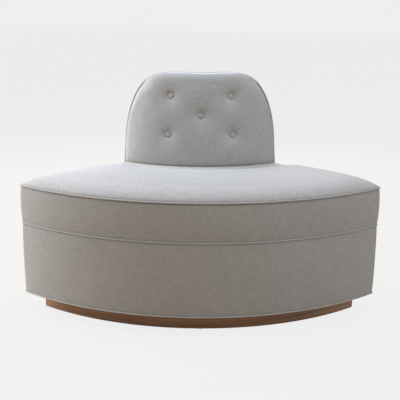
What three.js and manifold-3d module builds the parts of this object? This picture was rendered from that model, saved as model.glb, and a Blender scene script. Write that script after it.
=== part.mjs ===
// Wedge unit of a conversation sofa: a convex front, two flat joining sides at ninety degrees,
// a hollow rear, a tight welted seat, a convex buttoned back and a set-back walnut plinth.
// Millimetres, +Z up. The front faces -Y. All curves share one centre on the middle line.

import * as THREE from 'three';
import { mergeVertices } from 'three/addons/utils/BufferGeometryUtils.js';
import Module from 'manifold-3d';

const wasm = await Module();
wasm.setup();

// Plan
const wedgeAngle = 90; // between the joining sides, degrees
const rearRadius = 400; // finished hollow rear face, from the shared centre
const unitDepth = 514.5; // finished front face to finished rear face, on the middle line
const cornerRadius = 10; // upright corners of the cover

// Heights above the floor
const plinthHeight = 62; // floor to the underside of the base frame
const midSeamHeight = 308; // welt between base cover and seat band
const topSeamHeight = 430; // welt between seat band and seat top
const glideHeight = 2.5;

// Seat top
const seamStep = 1.5; // edge of the seat top above the middle of its welt
const seatCrown = 40; // rise of the seat above its edge
const footRise = 25; // rise where the back stands
const footLevelRun = 40; // level stretch in front of the back's welt
const crownRun = 88; // from there to the full crown
const frontRoll = 140; // width of the rolled edge at the front
const sideRoll = 150; // at the sides
const sideRollAtBack = 60; // at the sides beside the back
const rearRoll = 16; // behind the back
const rollPower = 2.4; // fullness of the rolled edge

// Cover
const fabric = 2; // cover and its lining
const weltDiameter = 5.5;
const weltProud = 3.5; // welt stands out from the cover
const bandTuck = 1.7; // seat band drawn in at its seams
const bandBulge = 0.9; // seat band swells out at half height

// Frame
const ply = 18;
const skinThickness = 6; // bending ply round the base
const ringWidth = 70; // of both plywood rings
const rearRingWidth = 80; // wider where the back posts pass
const studSize = 40;
const strapWidth = 60;
const strapThickness = 2;
const strapWave = 1.3; // rise and fall of a strap at each crossing
const rampShare = 0.9; // of the free length between two crossings
const ringOpeningCorner = 20; // rounded corners of the openings in both rings
const hessianCorner = 4;
const hessianThickness = 1;
const dustCoverThickness = 1;

// Plinth
const plinthSetbackFront = 56.5;
const plinthSetbackSide = 33;
const plinthSetbackRear = 40;
const plinthBoard = 20;
const plinthCorner = 2; // eased upright corners
const blockSize = 46; // corner blocks
const glideDiameter = 16;

// Back
const backSetIn = 12; // outside back face, in from the rear of the base
const backDepth = 72; // between the planes of its two welts
const backWidth = 566; // along the curve of its front welt
const backHeight = 319; // seat to the top welt
const backSideMargin = 26; // back edge, in from the joining side
const backRake = 6; // degrees
const shoulderWidth = 140; // rounded top corners, across
const shoulderDrop = 224; // rounded top corners, down
const shoulderPower = 2.06; // fullness of the rounding
const backCrown = 26; // pad rise above its welt
const backFootCrown = 7; // pad rise at the seat
const backEdgeRoll = 78; // width of the rolled edge of the pad
const backFootRoll = 110; // height over which the pad fills out
const coverLip = 1.5; // edge of the pad's cover, in front of the welt's middle
const padDepth = 30; // welt plane to the front panel
const backPanelThickness = 6;
const railThickness = 12;
const railHeight = 30;
const rimWidth = 28;
const outsidePanelThickness = 2;
const backBandTuck = 0.7; // band of the back drawn in at its welts
const backBandBulge = 3.5; // and swelling out between them
const postSetIn = 93; // post centre, in from the edge of the back
const postWidth = 44;

// Buttons
const buttonDiameter = 22;
const buttonHeight = 8;
const buttonLift = 0.4; // share of its width over which a button clears the slope of its tuft
const buttonTopSpacing = 218;
const buttonTopDrop = 72; // below the top of the back
const buttonMiddleDrop = 138;
const buttonBottomSpacing = 232;
const buttonBottomDrop = 206;
const tuftDepth = 15;
const tuftSpread = 30;
const twineDiameter = 2.4;
const toggleDiameter = 15; // behind the front panel, on the end of the twine
const toggleThickness = 2;

// Clearances
const fit = 0.3; // between touching pieces
const bentFit = 0.6; // between touching bent pieces
const postClearance = 0.8; // round a post
const wideMargin = 30; // by which a cutter passes the faces that it leaves alone

// Facets
const frontSteps = 10; // half of the front curve
const rearSteps = 6; // half of the rear curve
const cornerSteps = 3;
const bandSteps = 4; // up the seat band, and across the band of the back
const crownRings = 9;
const ringCrowding = 2.2; // rings of the seat top lie closer together near its edge
const crownMiddle = 20; // innermost ring, out from the middle of the seat
const cornerGrowth = 0.55; // rounding of the inner rings, against their inset
const cornerLimit = 0.8; // rounding of a ring, against the room left inside it
const bendStep = 29; // longest flat along the curve of the back
const padColumns = 26;
const padRows = 17;
const plateColumns = 20;
const plateRows = 6;
const weltSides = 6;
const glideSides = 16;
const buttonSides = 10;
const domeSteps = 6;

const frontRadius = rearRadius + unitDepth;
const faceRadius = rearRadius + backSetIn + backDepth; // the back's front welt, at the seat
const backHalf = backWidth / 2;
const wedgeHalf = THREE.MathUtils.degToRad(wedgeAngle / 2);
const edgeOffset = faceRadius * Math.sin(wedgeHalf - backHalf / faceRadius);
const sideOffset = edgeOffset - backSideMargin; // centre to a side plane
const frontFlat = sideAngle(frontRadius - cornerRadius, cornerRadius) / frontSteps;
const rearFlat = sideAngle(rearRadius + cornerRadius, cornerRadius) / rearSteps;
const angleTolerance = 1e-6;
const weltRadius = weltDiameter / 2;
const weltInset = weltRadius - weltProud;
const panelEdge = weltInset + weltRadius + fit; // edge of any cover panel beside a welt
const skinInset = Math.max(fabric, weltDiameter - weltProud) + fit;
const frameInset = skinInset + skinThickness + fit;
const lowerRingTop = plinthHeight + ply;
const deckTop = midSeamHeight + fabric;
const strapLevel = deckTop + fit + strapWave + strapThickness / 2;
const hessianBottom = strapLevel + strapWave + strapThickness / 2 + fit;
const foamBottom = hessianBottom + hessianThickness + fit;
const rakeAngle = THREE.MathUtils.degToRad(backRake);
const rakeSlope = Math.tan(rakeAngle);
const footLevel = topSeamHeight + seamStep + footRise + bentFit; // underside of the back
const backTop = footLevel + backHeight;
const padEdge = Math.max(weltRadius, backBandTuck + fabric) + bentFit; // inside welt and band
const panelFront = padDepth + bentFit;
const frameFront = panelFront + backPanelThickness + bentFit;
const railFront = frameFront + fit + toggleThickness + bentFit; // rails pass behind the toggles
const tuftCell = backHeight / padRows;
const tuftSlope = (tuftDepth * (1 - Math.exp(-((tuftCell / tuftSpread) ** 2)))) / tuftCell;
const buttonSeat = fit + tuftSlope * buttonDiameter * buttonLift; // its underside, over the tuft
const outsideCover = backDepth - fabric / 2; // cover behind the back, on the rear welt
const outsideFront = outsideCover - fit - outsidePanelThickness;
const frameRear = outsideFront - bentFit;
const rimInner = panelEdge + fabric + rimWidth;

const finishes = {
  fabric: { color: 0xb7b6b4, roughness: 0.92, metalness: 0 },
  walnut: { color: 0x6a4a36, roughness: 0.5, metalness: 0 },
  plywood: { color: 0xc7a476, roughness: 0.75, metalness: 0 },
  foam: { color: 0xe6dcc4, roughness: 0.95, metalness: 0 },
  webbing: { color: 0x3a3733, roughness: 0.85, metalness: 0 },
  hessian: { color: 0xa78c60, roughness: 0.95, metalness: 0 },
  lining: { color: 0x242424, roughness: 0.9, metalness: 0 },
  nylon: { color: 0x6b6b6b, roughness: 0.6, metalness: 0 },
};

const sofa = new THREE.Group();

function add(name, geometry, finish) {
  const mesh = new THREE.Mesh(geometry, new THREE.MeshStandardMaterial(finishes[finish]));
  mesh.name = name;
  sofa.add(mesh);
}

// Angle from the middle line where a circle about the centre meets a side plane set in by inset.
function sideAngle(radius, inset) {
  return wedgeHalf - Math.asin((sideOffset + inset) / radius);
}

function polar(radius, angle) {
  return [radius * Math.sin(angle), -radius * Math.cos(angle)];
}

function mix(a, b, t) {
  return a + (b - a) * t;
}

function clamp(value) {
  return Math.min(Math.max(value, 0), 1);
}

function smooth(from, to, value) {
  const t = clamp((value - from) / (to - from));
  return t * t * (3 - 2 * t);
}

// Rounded rise from an edge: 0 at the edge, 1 from width inward.
function roll(distance, width) {
  const rest = 1 - clamp(distance / width);
  return (1 - rest ** rollPower) ** (1 / rollPower);
}

function fillet(points, centre, radius, from, to) {
  for (let k = 0; k <= cornerSteps; k++) {
    const [dx, dy] = polar(radius, mix(from, to, k / cornerSteps));
    points.push([centre[0] + dx, centre[1] + dy]);
  }
}

// Closed plan outline set in from the finished faces. Its arcs break at shared angles, so that
// pieces which fit inside each other have parallel flats; an even outline divides each of its
// arcs alike instead, and always has the same number of points.
function wedgeOutline({ front, side = front, rear = front, corner = 1, even = false }) {
  const outer = frontRadius - front;
  const inner = rearRadius + rear;
  const frontTurn = sideAngle(outer - corner, side + corner);
  const rearTurn = sideAngle(inner + corner, side + corner);
  const frontStep = even ? frontTurn / frontSteps : frontFlat;
  const rearStep = even ? rearTurn / rearSteps : rearFlat;
  const sideNormal = Math.PI / 2 + wedgeHalf;
  const half = [];
  for (let i = 0; i * frontStep < frontTurn - angleTolerance; i++) {
    half.push(polar(outer, i * frontStep));
  }
  fillet(half, polar(outer - corner, frontTurn), corner, frontTurn, sideNormal);
  fillet(half, polar(inner + corner, rearTurn), corner, sideNormal, Math.PI + rearTurn);
  for (let i = Math.ceil((rearTurn - angleTolerance) / rearStep) - 1; i >= 0; i--) {
    half.push(polar(inner, i * rearStep));
  }
  const left = half.slice(1, -1).reverse().map(([x, y]) => [-x, y]);
  return [...half, ...left];
}

// Indexed geometry with its faces turned outward.
function closedGeometry(points, faces) {
  let volume = 0;
  for (const [a, b, c] of faces) {
    const [p, q, r] = [points[a], points[b], points[c]];
    volume += p[0] * (q[1] * r[2] - q[2] * r[1]);
    volume += p[1] * (q[2] * r[0] - q[0] * r[2]);
    volume += p[2] * (q[0] * r[1] - q[1] * r[0]);
  }
  const outward = volume > 0 ? faces : faces.map(([a, b, c]) => [a, c, b]);
  const geometry = new THREE.BufferGeometry();
  geometry.setAttribute('position', new THREE.Float32BufferAttribute(points.flat(), 3));
  geometry.setIndex(outward.flat());
  return geometry;
}

// Faces that join two rows of points of equal length, split along one diagonal or the other.
function joinRows(faces, rowA, rowB, count, closed, crossed = false) {
  const last = closed ? count : count - 1;
  for (let i = 0; i < last; i++) {
    const j = (i + 1) % count;
    if (crossed) {
      faces.push([rowA + i, rowA + j, rowB + i], [rowA + j, rowB + j, rowB + i]);
    } else {
      faces.push([rowA + i, rowA + j, rowB + j], [rowA + i, rowB + j, rowB + i]);
    }
  }
}

function capFaces(outline) {
  const flat = outline.map(([x, y]) => new THREE.Vector2(x, y));
  return THREE.ShapeUtils.triangulateShape(flat, []);
}

// Solid made of stacked closed rings, capped at both ends. The first rings are crossed where
// they run outward, so that they split as the same rings do on the way in.
function ringStack(rings, outwardRings = 0) {
  const count = rings[0].length;
  const faces = [];
  for (let k = 0; k + 1 < rings.length; k++) {
    joinRows(faces, k * count, (k + 1) * count, count, true, k + 1 < outwardRings);
  }
  const top = (rings.length - 1) * count;
  for (const [a, b, c] of capFaces(rings[0])) {
    faces.push([a, c, b]);
  }
  for (const [a, b, c] of capFaces(rings[rings.length - 1])) {
    faces.push([top + a, top + b, top + c]);
  }
  return closedGeometry(rings.flat(), faces);
}

// Endless strip round the wedge: profile is a closed loop of [inset, height].
function wedgeLoop(profile) {
  const rings = profile.map(([inset, height]) => {
    const outline = wedgeOutline({ front: inset, corner: cornerRadius - inset, even: true });
    return outline.map(([x, y]) => [x, y, height]);
  });
  const count = rings[0].length;
  const faces = [];
  for (let k = 0; k < rings.length; k++) {
    joinRows(faces, k * count, ((k + 1) % rings.length) * count, count, true);
  }
  return closedGeometry(rings.flat(), faces);
}

function circleProfile(centreA, centreB, radius) {
  const profile = [];
  for (let k = 0; k < weltSides; k++) {
    const turn = (2 * Math.PI * (k + 0.5)) / weltSides;
    profile.push([centreA + radius * Math.cos(turn), centreB + radius * Math.sin(turn)]);
  }
  return profile;
}

function prism(outline, low, high) {
  const shape = new THREE.Shape(outline.map(([x, y]) => new THREE.Vector2(x, y)));
  const geometry = new THREE.ExtrudeGeometry(shape, { depth: high - low, bevelEnabled: false });
  return geometry.translate(0, 0, low);
}

function solid(geometry) {
  const bare = geometry.clone();
  bare.deleteAttribute('normal');
  bare.deleteAttribute('uv');
  const merged = mergeVertices(bare, 1e-4);
  const vertProperties = new Float32Array(merged.attributes.position.array);
  const triVerts = new Uint32Array(merged.index.array);
  return new wasm.Manifold(new wasm.Mesh({ numProp: 3, vertProperties, triVerts }));
}

function meshOf(body) {
  const cut = body.getMesh();
  const geometry = new THREE.BufferGeometry();
  geometry.setAttribute('position', new THREE.BufferAttribute(cut.vertProperties, 3));
  geometry.setIndex(new THREE.BufferAttribute(cut.triVerts, 1));
  return geometry;
}

function wedgeSolid(insets, low, high) {
  return solid(prism(wedgeOutline(insets), low, high));
}

// Sharp-cornered wedge, set in on the named sides only and left wide on the others.
function wedgeRegion(insets, low, high) {
  const wide = { front: -wideMargin, side: -wideMargin, rear: -wideMargin };
  return Object.entries(insets)
    .map(([key, inset]) => wedgeSolid({ ...wide, [key]: inset }, low, high))
    .reduce((body, cutter) => body.intersect(cutter));
}

// Block standing at a point of the plan, with one axis along the radius there.
function radialBlock({ radius, angle, depth, width, low, high }) {
  const block = new THREE.BoxGeometry(width, depth, high - low);
  block.rotateZ(angle);
  const [x, y] = polar(radius, angle);
  return block.translate(x, y, (low + high) / 2);
}

// Half of the plan on one side of the middle line, as a cutter.
function sideHalf(sign) {
  const reach = 2 * frontRadius;
  const block = new THREE.BoxGeometry(reach, 2 * reach, 2 * reach);
  return solid(block.translate((sign * reach) / 2, 0, 0));
}

// Four walls of a hollow wedge: front and rear run through, the sides fit between them.
function fourWalls(prefix, { front, side, rear, corner }, thickness, low, high, finish) {
  const whole = wedgeSolid({ front, side, rear, corner }, low, high);
  const cut = [low - ply, high + ply];
  const behindFront = wedgeRegion({ front: front + thickness }, ...cut);
  const beforeRear = wedgeRegion({ rear: rear + thickness }, ...cut);
  const ends = { front: front + thickness + fit, rear: rear + thickness + fit };
  const inside = wedgeRegion({ side: side + thickness }, ...cut);
  const sides = whole.intersect(wedgeRegion(ends, ...cut)).subtract(inside);
  add(`${prefix}_front`, meshOf(whole.subtract(behindFront)), finish);
  add(`${prefix}_rear`, meshOf(whole.subtract(beforeRear)), finish);
  add(`${prefix}_left`, meshOf(sides.intersect(sideHalf(-1))), finish);
  add(`${prefix}_right`, meshOf(sides.intersect(sideHalf(1))), finish);
}

// Upright fitted into one corner of the plan.
function cornerPiece({ inset, size, sign, atFront, low, high }) {
  const radius = atFront ? frontRadius - inset.front : rearRadius + inset.rear;
  const angle = sideAngle(radius, inset.side);
  const block = radialBlock({
    radius,
    angle: sign * angle,
    depth: 2 * size,
    width: 2 * size,
    low,
    high,
  });
  return wedgeRegion(inset, low, high).intersect(solid(block));
}

function buildPlinth() {
  const low = glideHeight + fit;
  const high = plinthHeight - fit;
  const insets = {
    front: plinthSetbackFront,
    side: plinthSetbackSide,
    rear: plinthSetbackRear,
    corner: plinthCorner,
  };
  fourWalls('plinth', insets, plinthBoard, low, high, 'walnut');
  const inner = {
    front: insets.front + plinthBoard + fit,
    side: insets.side + plinthBoard + fit,
    rear: insets.rear + plinthBoard + fit,
  };
  const blockTop = high - dustCoverThickness - fit;
  for (const [side, sign] of [['left', -1], ['right', 1]]) {
    for (const [end, atFront] of [['front', true], ['rear', false]]) {
      const place = { inset: inner, size: blockSize, sign, atFront, low, high: blockTop };
      add(`plinth_block_${end}_${side}`, meshOf(cornerPiece(place)), 'plywood');
    }
  }
}

function buildGlides() {
  const frontLine = frontRadius - plinthSetbackFront - plinthBoard / 2;
  const rearLine = rearRadius + plinthSetbackRear + plinthBoard / 2;
  const frontTurn = sideAngle(frontLine, plinthSetbackSide + blockSize);
  const rearTurn = sideAngle(rearLine, plinthSetbackSide + blockSize / 2);
  const places = {
    glide_front_centre: [frontLine, 0],
    glide_front_left: [frontLine, -frontTurn],
    glide_front_right: [frontLine, frontTurn],
    glide_rear_left: [rearLine, -rearTurn],
    glide_rear_right: [rearLine, rearTurn],
  };
  for (const [name, [radius, turn]] of Object.entries(places)) {
    const [x, y] = polar(radius, turn);
    const glideRadius = glideDiameter / 2;
    const disc = new THREE.CylinderGeometry(glideRadius, glideRadius, glideHeight, glideSides);
    add(name, disc.rotateX(Math.PI / 2).translate(x, y, glideHeight / 2), 'nylon');
  }
}

// Side outline of a back post in radius and height: upright in the base, raked above the seat,
// and ending under the rim.
function postProfile(grow) {
  const hollow = (bendStep ** 2 + postWidth ** 2) / 8 / (faceRadius - backDepth);
  const front = faceRadius - railFront - railThickness - hollow - 2 * fit + grow;
  const rear = faceRadius - frameRear + fit - grow;
  const narrowest = faceRadius - backDepth - backHeight * rakeSlope;
  const edge = postAcross + ((postWidth / 2) * faceRadius) / narrowest;
  const top = archTop(edge, rimInner + postClearance) - postClearance;
  const lean = (top - footLevel) * rakeSlope;
  const kink = footLevel;
  return [
    [rear, lowerRingTop + fit],
    [front, lowerRingTop + fit],
    [front, kink],
    [front - lean, top],
    [rear - lean, top],
    [rear, kink],
  ];
}

function radialSlab(profile, thickness, angle) {
  const slab = prism(profile, -thickness / 2, thickness / 2);
  const across = new THREE.Vector3(Math.sin(angle), -Math.cos(angle), 0);
  const up = new THREE.Vector3(0, 0, 1);
  const basis = new THREE.Matrix4().makeBasis(across, up, across.clone().cross(up));
  return slab.applyMatrix4(basis);
}

const postAcross = backHalf - postSetIn;
const postAngles = { left: -postAcross / faceRadius, right: postAcross / faceRadius };

// Cutters that leave the named clearance round both posts.
function postHoles() {
  return Object.values(postAngles).map((angle) => {
    return solid(radialSlab(postProfile(postClearance), postWidth + 2 * postClearance, angle));
  });
}

function cutPosts(body) {
  return postHoles().reduce((rest, hole) => rest.subtract(hole), body);
}

function buildBaseFrame() {
  const outer = { front: frameInset, side: frameInset, rear: frameInset };
  const opening = {
    front: frameInset + ringWidth,
    side: frameInset + ringWidth,
    rear: frameInset + rearRingWidth,
    corner: ringOpeningCorner,
  };
  const lowerRing = wedgeRegion(outer, plinthHeight, lowerRingTop)
    .subtract(wedgeSolid(opening, plinthHeight - ply, lowerRingTop + ply));
  add('base_ring_lower', meshOf(lowerRing), 'plywood');
  const seatRing = wedgeRegion(outer, deckTop - ply, deckTop)
    .subtract(wedgeSolid(opening, deckTop - 2 * ply, deckTop + ply));
  add('seat_ring', meshOf(cutPosts(seatRing)), 'plywood');

  const low = lowerRingTop + fit;
  const high = deckTop - ply - fit;
  const inset = { front: frameInset + fit, side: frameInset + fit, rear: frameInset + fit };
  for (const [side, sign] of [['left', -1], ['right', 1]]) {
    for (const [end, atFront] of [['front', true], ['rear', false]]) {
      const stud = cornerPiece({ inset, size: studSize, sign, atFront, low, high });
      add(`stud_${end}_${side}`, meshOf(stud), 'plywood');
    }
  }
  const frontFace = (frontRadius - frameInset) * Math.cos(frontFlat / 2);
  const middle = frontFace - studSize ** 2 / frontRadius / 8 - fit - studSize / 2;
  const studs = { middle_left: -0.5, centre: 0, middle_right: 0.5 };
  for (const [place, share] of Object.entries(studs)) {
    const stud = radialBlock({
      radius: middle,
      angle: share * sideAngle(frontRadius, 0),
      depth: studSize,
      width: studSize,
      low,
      high,
    });
    add(`stud_front_${place}`, stud, 'plywood');
  }

  const skin = { front: skinInset, side: skinInset, rear: skinInset };
  skin.corner = cornerRadius - skinInset;
  fourWalls('base_skin', skin, skinThickness, plinthHeight, deckTop, 'plywood');
}

function buildDustCover() {
  const lap = plinthBoard + 2 * fit;
  const inset = {
    front: plinthSetbackFront + lap,
    side: plinthSetbackSide + lap,
    rear: plinthSetbackRear + lap,
  };
  const top = plinthHeight - fit;
  add('dust_cover', meshOf(wedgeRegion(inset, top - dustCoverThickness, top)), 'lining');
}

// Woven strap: a thin strip that rises over and dips under the straps that it crosses, and comes
// down to the ring at both ends.
function strap(from, to, crossings, firstOver) {
  const reach = strapWidth / 2 + strapWave * 2;
  const ramp = ((crossings[1] - crossings[0]) / 2 - reach) * rampShare;
  const line = [[from, -strapWave]];
  crossings.forEach((place, index) => {
    const level = (index + firstOver) % 2 ? strapWave : -strapWave;
    line.push([place - reach - ramp, 0], [place - reach, level]);
    line.push([place + reach, level], [place + reach + ramp, 0]);
  });
  line.push([to, -strapWave]);
  const half = strapThickness / 2;
  const under = line.map(([t, z]) => [t, strapLevel + z - half]);
  const over = line.map(([t, z]) => [t, strapLevel + z + half]).reverse();
  return prism([...under, ...over], -strapWidth / 2, strapWidth / 2);
}

// Three straps each way, spread evenly. They end half way across the ring that carries them.
function buildWebbing() {
  const onRing = frameInset + ringWidth / 2;
  const frontLine = frontRadius - onRing;
  const rearLine = rearRadius + onRing;
  const sideGap = (sideOffset + onRing) / Math.cos(wedgeHalf);
  const half = strapWidth / 2;
  const outerEdge = rearLine * Math.sin(sideAngle(rearLine, onRing));
  const columns = [-1, 0, 1].map((step) => step * (outerEdge - half));
  const outerFront = Math.sqrt(frontLine ** 2 - outerEdge ** 2);
  const rows = [0.75, 0.5, 0.25].map((share) => -mix(rearLine, outerFront, share));
  rows.forEach((y, index) => {
    const toSide = (-y - half) * Math.tan(wedgeHalf) - sideGap;
    const toFront = Math.sqrt(frontLine ** 2 - (half - y) ** 2);
    const end = Math.min(toSide, toFront);
    const strip = strap(-end, end, columns, index);
    strip.rotateX(Math.PI / 2);
    add(`strap_across_${index + 1}`, strip.translate(0, y, 0), 'webbing');
  });
  columns.forEach((x, index) => {
    const edge = Math.abs(x) + half;
    const start = -Math.sqrt(frontLine ** 2 - edge ** 2);
    const toSide = (edge + sideGap) / Math.tan(wedgeHalf);
    const toRear = Math.sqrt(rearLine ** 2 - Math.min(edge - strapWidth, 0) ** 2);
    const strip = strap(start, -Math.max(toRear, toSide), rows, index + 1);
    strip.rotateX(Math.PI / 2);
    strip.rotateZ(Math.PI / 2);
    add(`strap_lengthwise_${index + 1}`, strip.translate(x, 0, 0), 'webbing');
  });
}

// Height of the seat top above its welt: full in front, lower at the back, rolled at every edge.
function seatLift(x, y) {
  const radius = Math.hypot(x, y);
  const toFront = frontRadius - radius - panelEdge;
  const toRear = radius - rearRadius - panelEdge;
  const across = -y * Math.sin(wedgeHalf) - Math.abs(x) * Math.cos(wedgeHalf);
  const toSide = across - sideOffset - panelEdge;
  const levelEnd = faceRadius + footLevelRun;
  const away = smooth(levelEnd, levelEnd + crownRun, radius);
  const rise = mix(footRise, seatCrown, away);
  const sideWidth = mix(sideRollAtBack, sideRoll, away);
  return rise * roll(toFront, frontRoll) * roll(toSide, sideWidth) * roll(toRear, rearRoll);
}

// Rings of the crowned seat top, from its edge inward, lowered by drop.
function crownRingsAt(drop) {
  const halfway = (frontRadius - rearRadius) / 2;
  const rings = [];
  for (let k = 0; k <= crownRings; k++) {
    const inset = mix(panelEdge, halfway - crownMiddle, (k / crownRings) ** ringCrowding);
    const grown = cornerRadius - panelEdge + cornerGrowth * (inset - panelEdge);
    const corner = Math.min(grown, (halfway - inset) * cornerLimit);
    const outline = wedgeOutline({ front: inset, corner, even: true });
    rings.push(outline.map(([x, y]) => [x, y, topSeamHeight + seamStep + seatLift(x, y) - drop]));
  }
  return rings;
}

const bandShares = Array.from({ length: bandSteps + 1 }, (_, k) => k / bandSteps);

// Inset of a band between its seams: drawn in at both, swelling out between them.
function bandInset(share, tuck = bandTuck, bulge = bandBulge) {
  return tuck - (tuck + bulge) * Math.sin(Math.PI * share);
}

function buildSeat() {
  const sheet = { front: frameInset + 2 * fit, corner: hessianCorner };
  const hessian = wedgeSolid(sheet, hessianBottom, hessianBottom + hessianThickness);
  add('seat_hessian', meshOf(cutPosts(hessian)), 'hessian');

  const bandLow = midSeamHeight + weltRadius + fit;
  const bandHigh = topSeamHeight - weltRadius - fit;
  const outer = bandShares.map((share) => [bandInset(share), mix(bandLow, bandHigh, share)]);
  const inner = outer.map(([inset, height]) => [inset + fabric, height]).reverse();

  const foamSide = bandShares.map((share) => {
    const inset = bandInset(share) + fabric + fit;
    const outline = wedgeOutline({ front: inset, corner: cornerRadius - inset, even: true });
    const height = mix(foamBottom, bandHigh, share);
    return outline.map(([x, y]) => [x, y, height]);
  });
  const foamTop = crownRingsAt(fabric + fit);
  add('seat_foam', meshOf(cutPosts(solid(ringStack([...foamSide, ...foamTop])))), 'foam');

  const under = crownRingsAt(fabric).reverse();
  const over = crownRingsAt(0);
  const panel = ringStack([...under, ...over], under.length);
  add('seat_top_panel', meshOf(cutPosts(solid(panel))), 'fabric');
  add('seat_band', wedgeLoop([...outer, ...inner]), 'fabric');
}

function buildSeatWelts() {
  const welt = (height) => wedgeLoop(circleProfile(weltInset, height, weltRadius));
  add('welt_seat_top', welt(topSeamHeight), 'fabric');
  add('welt_seat_middle', welt(midSeamHeight), 'fabric');
  add('welt_base_bottom', welt(plinthHeight + weltRadius), 'fabric');
}

function buildBaseCover() {
  const low = plinthHeight + weltDiameter + fit;
  const high = midSeamHeight - weltRadius - fit;
  const profile = [[0, low], [0, high], [fabric, high], [fabric, low]];
  add('base_cover', wedgeLoop(profile), 'fabric');
}

// The back is drawn flat, in distance along the curve, height and depth behind the front welt,
// and then bent round the centre and leaned by its rake.
function bend(along, height, depth) {
  const radius = faceRadius - depth - (height - footLevel) * rakeSlope;
  const [x, y] = polar(radius, along / faceRadius);
  return [x, y, height];
}

const flatTop = backHalf - shoulderWidth;
const shoulderLevel = backTop - shoulderDrop;

function archRounding(share) {
  return (1 - clamp(share) ** shoulderPower) ** (1 / shoulderPower);
}

function archHalf(height, inset) {
  const share = (height - shoulderLevel) / (shoulderDrop - inset);
  return flatTop + (shoulderWidth - inset) * archRounding(share);
}

function archTop(along, inset) {
  const share = (Math.abs(along) - flatTop) / (shoulderWidth - inset);
  return shoulderLevel + (shoulderDrop - inset) * archRounding(share);
}

// Left foot, up and over to the right foot, as [along, height].
function archPath(inset, foot) {
  const sideSteps = 3;
  const roundSteps = 13;
  const topSteps = Math.ceil(flatTop / bendStep);
  const right = [];
  for (let i = 0; i < topSteps; i++) {
    right.push([(flatTop * i) / topSteps, backTop - inset]);
  }
  for (let i = 0; i <= roundSteps; i++) {
    const turn = (Math.PI / 2) * (i / roundSteps);
    const across = Math.sin(turn) ** (2 / shoulderPower);
    const up = Math.cos(turn) ** (2 / shoulderPower);
    right.push([
      flatTop + (shoulderWidth - inset) * across,
      shoulderLevel + (shoulderDrop - inset) * up,
    ]);
  }
  for (let i = 1; i <= sideSteps; i++) {
    right.push([backHalf - inset, mix(shoulderLevel, foot, i / sideSteps)]);
  }
  const left = right.slice(1).reverse().map(([along, height]) => [-along, height]);
  return [...left, ...right];
}

// Strip that follows the arch of the back: profile is a closed loop of [inset, depth].
function archStrip(profile, foot) {
  const rows = profile.map(([inset, depth]) => {
    return archPath(inset, foot).map(([along, height]) => bend(along, height, depth));
  });
  const count = rows[0].length;
  const faces = [];
  for (let k = 0; k < rows.length; k++) {
    joinRows(faces, k * count, ((k + 1) % rows.length) * count, count, false);
  }
  const caps = capFaces(profile);
  const turned = THREE.ShapeUtils.isClockWise(profile.map(([x, y]) => new THREE.Vector2(x, y)));
  const end = count - 1;
  for (const [a, b, c] of caps) {
    const [p, q] = turned ? [c, b] : [b, c];
    faces.push([a * count, p * count, q * count]);
    faces.push([a * count + end, q * count + end, p * count + end]);
  }
  return closedGeometry(rows.flat(), faces);
}

// Shifts the grid round a button so that one of its points lies on the button.
function drawToPin(places, [along, height]) {
  const away = places.map(([s, z]) => Math.hypot(s - along, z - height));
  const [s0, z0] = places[away.indexOf(Math.min(...away))];
  places.forEach((place, k) => {
    const pull = (1 - clamp(away[k] / (2 * bendStep)) ** 2) ** 2;
    place[0] += (along - s0) * pull;
    place[1] += (height - z0) * pull;
  });
}

// Sheet or pad that fills the arch: depthFront and depthRear give its two faces.
function archSheet({ inset, foot, columns, rows, depthFront, depthRear, pins = [] }) {
  const knee = 2 ** (-1 / shoulderPower);
  const kneeAlong = flatTop + (shoulderWidth - inset) * knee;
  const kneeHeight = shoulderLevel + (shoulderDrop - inset) * knee;
  const places = [];
  for (let j = 0; j <= rows; j++) {
    for (let i = 0; i <= columns; i++) {
      const across = (2 * i) / columns - 1;
      const share = j / rows;
      const along = across * archHalf(mix(foot, kneeHeight, share), inset);
      const height = mix(foot, archTop(across * kneeAlong, inset), share);
      places.push([along, height]);
    }
  }
  pins.forEach((pin) => drawToPin(places, pin));
  const front = places.map(([along, height]) => bend(along, height, depthFront(along, height)));
  const rear = places.map(([along, height]) => bend(along, height, depthRear(along, height)));
  const width = columns + 1;
  const back = places.length;
  const faces = [];
  for (let j = 0; j < rows; j++) {
    for (let i = 0; i < columns; i++) {
      const a = j * width + i;
      const [b, c, d] = [a + 1, a + 1 + width, a + width];
      faces.push([a, b, c], [a, c, d]);
      faces.push([back + a, back + c, back + b], [back + a, back + d, back + c]);
    }
  }
  const rim = [];
  for (let i = 0; i < columns; i++) rim.push(i);
  for (let j = 0; j < rows; j++) rim.push(j * width + columns);
  for (let i = columns; i > 0; i--) rim.push(rows * width + i);
  for (let j = rows; j > 0; j--) rim.push(j * width);
  rim.forEach((a, k) => {
    const b = rim[(k + 1) % rim.length];
    faces.push([a, back + a, back + b], [a, back + b, b]);
  });
  return closedGeometry([...front, ...rear], faces);
}

// Block of the back's frame, bent with it.
function bentBlock({ from, to, low, high, depthFront, depthRear }) {
  const steps = Math.max(Math.ceil((to - from) / bendStep), 1);
  const rows = [[low, depthFront], [low, depthRear], [high, depthRear], [high, depthFront]];
  const rings = [];
  for (let i = 0; i <= steps; i++) {
    const along = mix(from, to, i / steps);
    rings.push(rows.map(([height, depth]) => bend(along, height, depth)));
  }
  const faces = [[0, 1, 2], [0, 2, 3]];
  for (let i = 0; i < steps; i++) {
    joinRows(faces, (i + 1) * 4, i * 4, 4, true);
  }
  const end = steps * 4;
  faces.push([end, end + 2, end + 1], [end, end + 3, end + 2]);
  return closedGeometry(rings.flat(), faces);
}

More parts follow.
